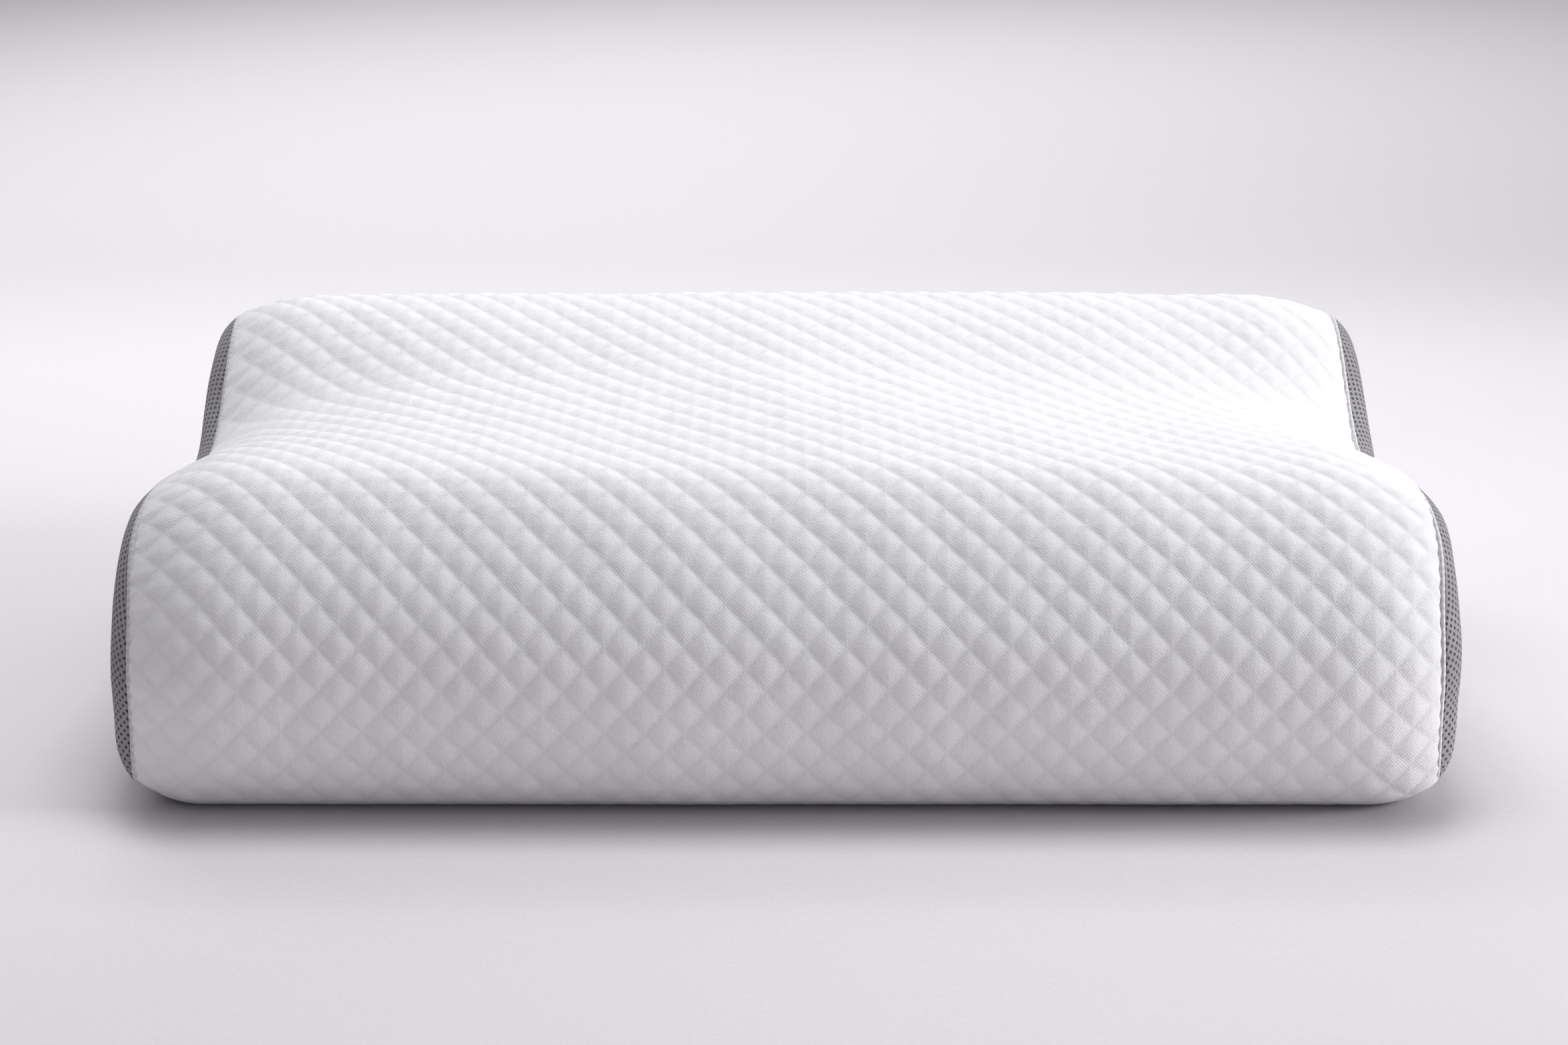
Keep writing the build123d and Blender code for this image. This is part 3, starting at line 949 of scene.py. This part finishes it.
# ---- Studio light ----
def softbox(name, place, target, size, power, color, spread=180):
    """A square-edged lamp the camera doesn't see; spread (degrees) is the width of its beam."""
    light = bpy.data.lights.new(name, "AREA")
    light.shape = "RECTANGLE"
    light.size, light.size_y = size
    light.energy = power
    light.color = color
    light.spread = math.radians(spread)
    obj = bpy.data.objects.new(name, light)
    obj.location = place
    obj.rotation_euler = (Vector(target) - Vector(place)).to_track_quat("-Z", "Y").to_euler()
    obj.visible_camera = False
    bpy.context.scene.collection.objects.link(obj)


PILLOW = (0.0, 0.0, 0.05)
WARM = (1.0, 0.995, 0.99)
COOL = (0.98, 0.98, 1.0)
PALE = (0.985, 0.98, 1.0)
softbox("key_right", (1.60, -0.20, 0.56), PILLOW, (0.5, 0.5), 2.5, WARM, 64)
softbox("rear_left", (-0.728, 1.26, 1.27), PILLOW, (1.0, 0.8), 9.2, PALE)
softbox("rear_low", (0.0, 1.722, 0.853), PILLOW, (1.2, 0.6), 3.4, PALE)
softbox("front", (0.72, -1.50, 0.95), PILLOW, (1.4, 1.0), 4.1, COOL)
softbox("left", (-1.532, 0.1, 1.336), PILLOW, (1.4, 1.0), 3.6, COOL)
softbox("overhead_rear", (0.0, 0.9, 1.7), (0.0, 0.2, 0.0), (1.6, 0.8), 4.0, PALE)
softbox("overhead", (0.0, 0.3, 1.5), (0.0, 0.2, 0.0), (0.8, 0.6), 7.6, PALE)
softbox("wash", (0.3, 1.45, 1.6), (0.3, 2.3, 0.0), (1.2, 0.4), 11.0, PALE)

world = bpy.data.worlds.new("studio")
world.use_nodes = True
world.node_tree.nodes["Background"].inputs["Color"].default_value = (0.96, 0.95, 1.0, 1.0)
world.node_tree.nodes["Background"].inputs["Strength"].default_value = 0.05
bpy.context.scene.world = world

# ---- Camera ----
lens = bpy.data.cameras.new("camera")
lens.lens = 67.73
lens.sensor_width = 36.0
lens.clip_start = 0.01
camera = bpy.data.objects.new("camera", lens)
camera.location = (-0.0007, -1.147, 0.448)
camera.rotation_euler = (math.radians(90 - 18.5), 0.0, 0.0)
bpy.context.scene.collection.objects.link(camera)
bpy.context.scene.camera = camera
bpy.context.scene.view_settings.view_transform = "Standard"
bpy.context.scene.view_settings.look = "None"
